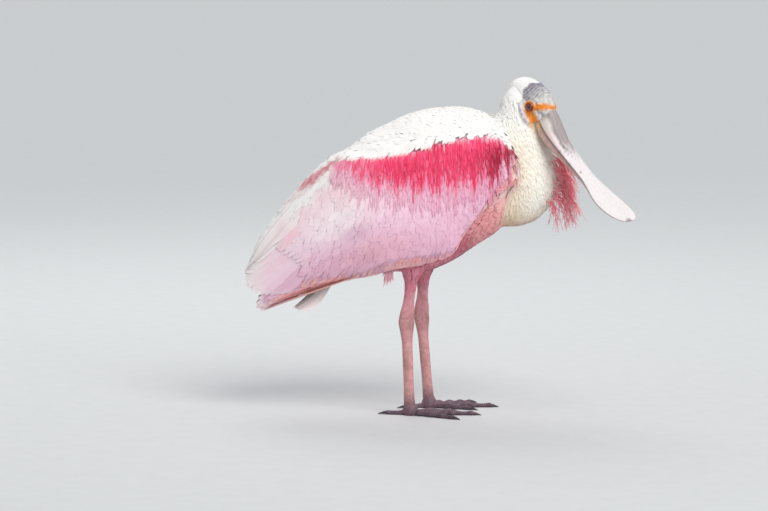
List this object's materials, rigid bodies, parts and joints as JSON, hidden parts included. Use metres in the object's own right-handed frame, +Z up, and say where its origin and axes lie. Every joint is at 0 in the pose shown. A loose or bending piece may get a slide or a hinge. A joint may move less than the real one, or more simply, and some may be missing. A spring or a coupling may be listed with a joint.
{
  "type": "wading bird figure",
  "caption": "Life-size roseate spoonbill standing at rest, neck folded and head turned to its right, wings closed, spoon-shaped bill pointing down.",
  "frame": {"origin": "centre of the bounding box in X and Y, on the floor plane that the feet rest on", "axes": "+X is the way the body faces, +Y is the bird's left side, +Z is up"},
  "size_m": [0.4736, 0.2054, 0.4132],
  "materials": {
    "white_plumage": "matte",
    "pink_plumage": "matte",
    "leg_skin": "matte",
    "claw": "satin",
    "bill": "satin",
    "eye": "gloss"
  },
  "bodies": {
    "root": {"torso": "white_plumage", "neck_lower": "white_plumage", "neck_upper": "white_plumage", "head": "white_plumage", "bill_upper": "bill", "bill_lower": "bill", "eye_left": "eye", "eye_right": "eye", "wing_left": "pink_plumage", "wing_right": "pink_plumage", "tail": "white_plumage", "thigh_left": "pink_plumage", "thigh_right": "pink_plumage", "shank_left": "leg_skin", "shank_right": "leg_skin", "tarsus_left": "leg_skin", "tarsus_right": "leg_skin", "foot_left": "leg_skin", "foot_right": "leg_skin", "toe_left_inner": "leg_skin", "toe_left_middle": "leg_skin", "toe_left_outer": "leg_skin", "toe_left_hind": "leg_skin", "toe_right_inner": "leg_skin", "toe_right_middle": "leg_skin", "toe_right_outer": "leg_skin", "toe_right_hind": "leg_skin", "claw_left_inner": "claw", "claw_left_middle": "claw", "claw_left_outer": "claw", "claw_left_hind": "claw", "claw_right_inner": "claw", "claw_right_middle": "claw", "claw_right_outer": "claw", "claw_right_hind": "claw"}
  },
  "joints": []
}
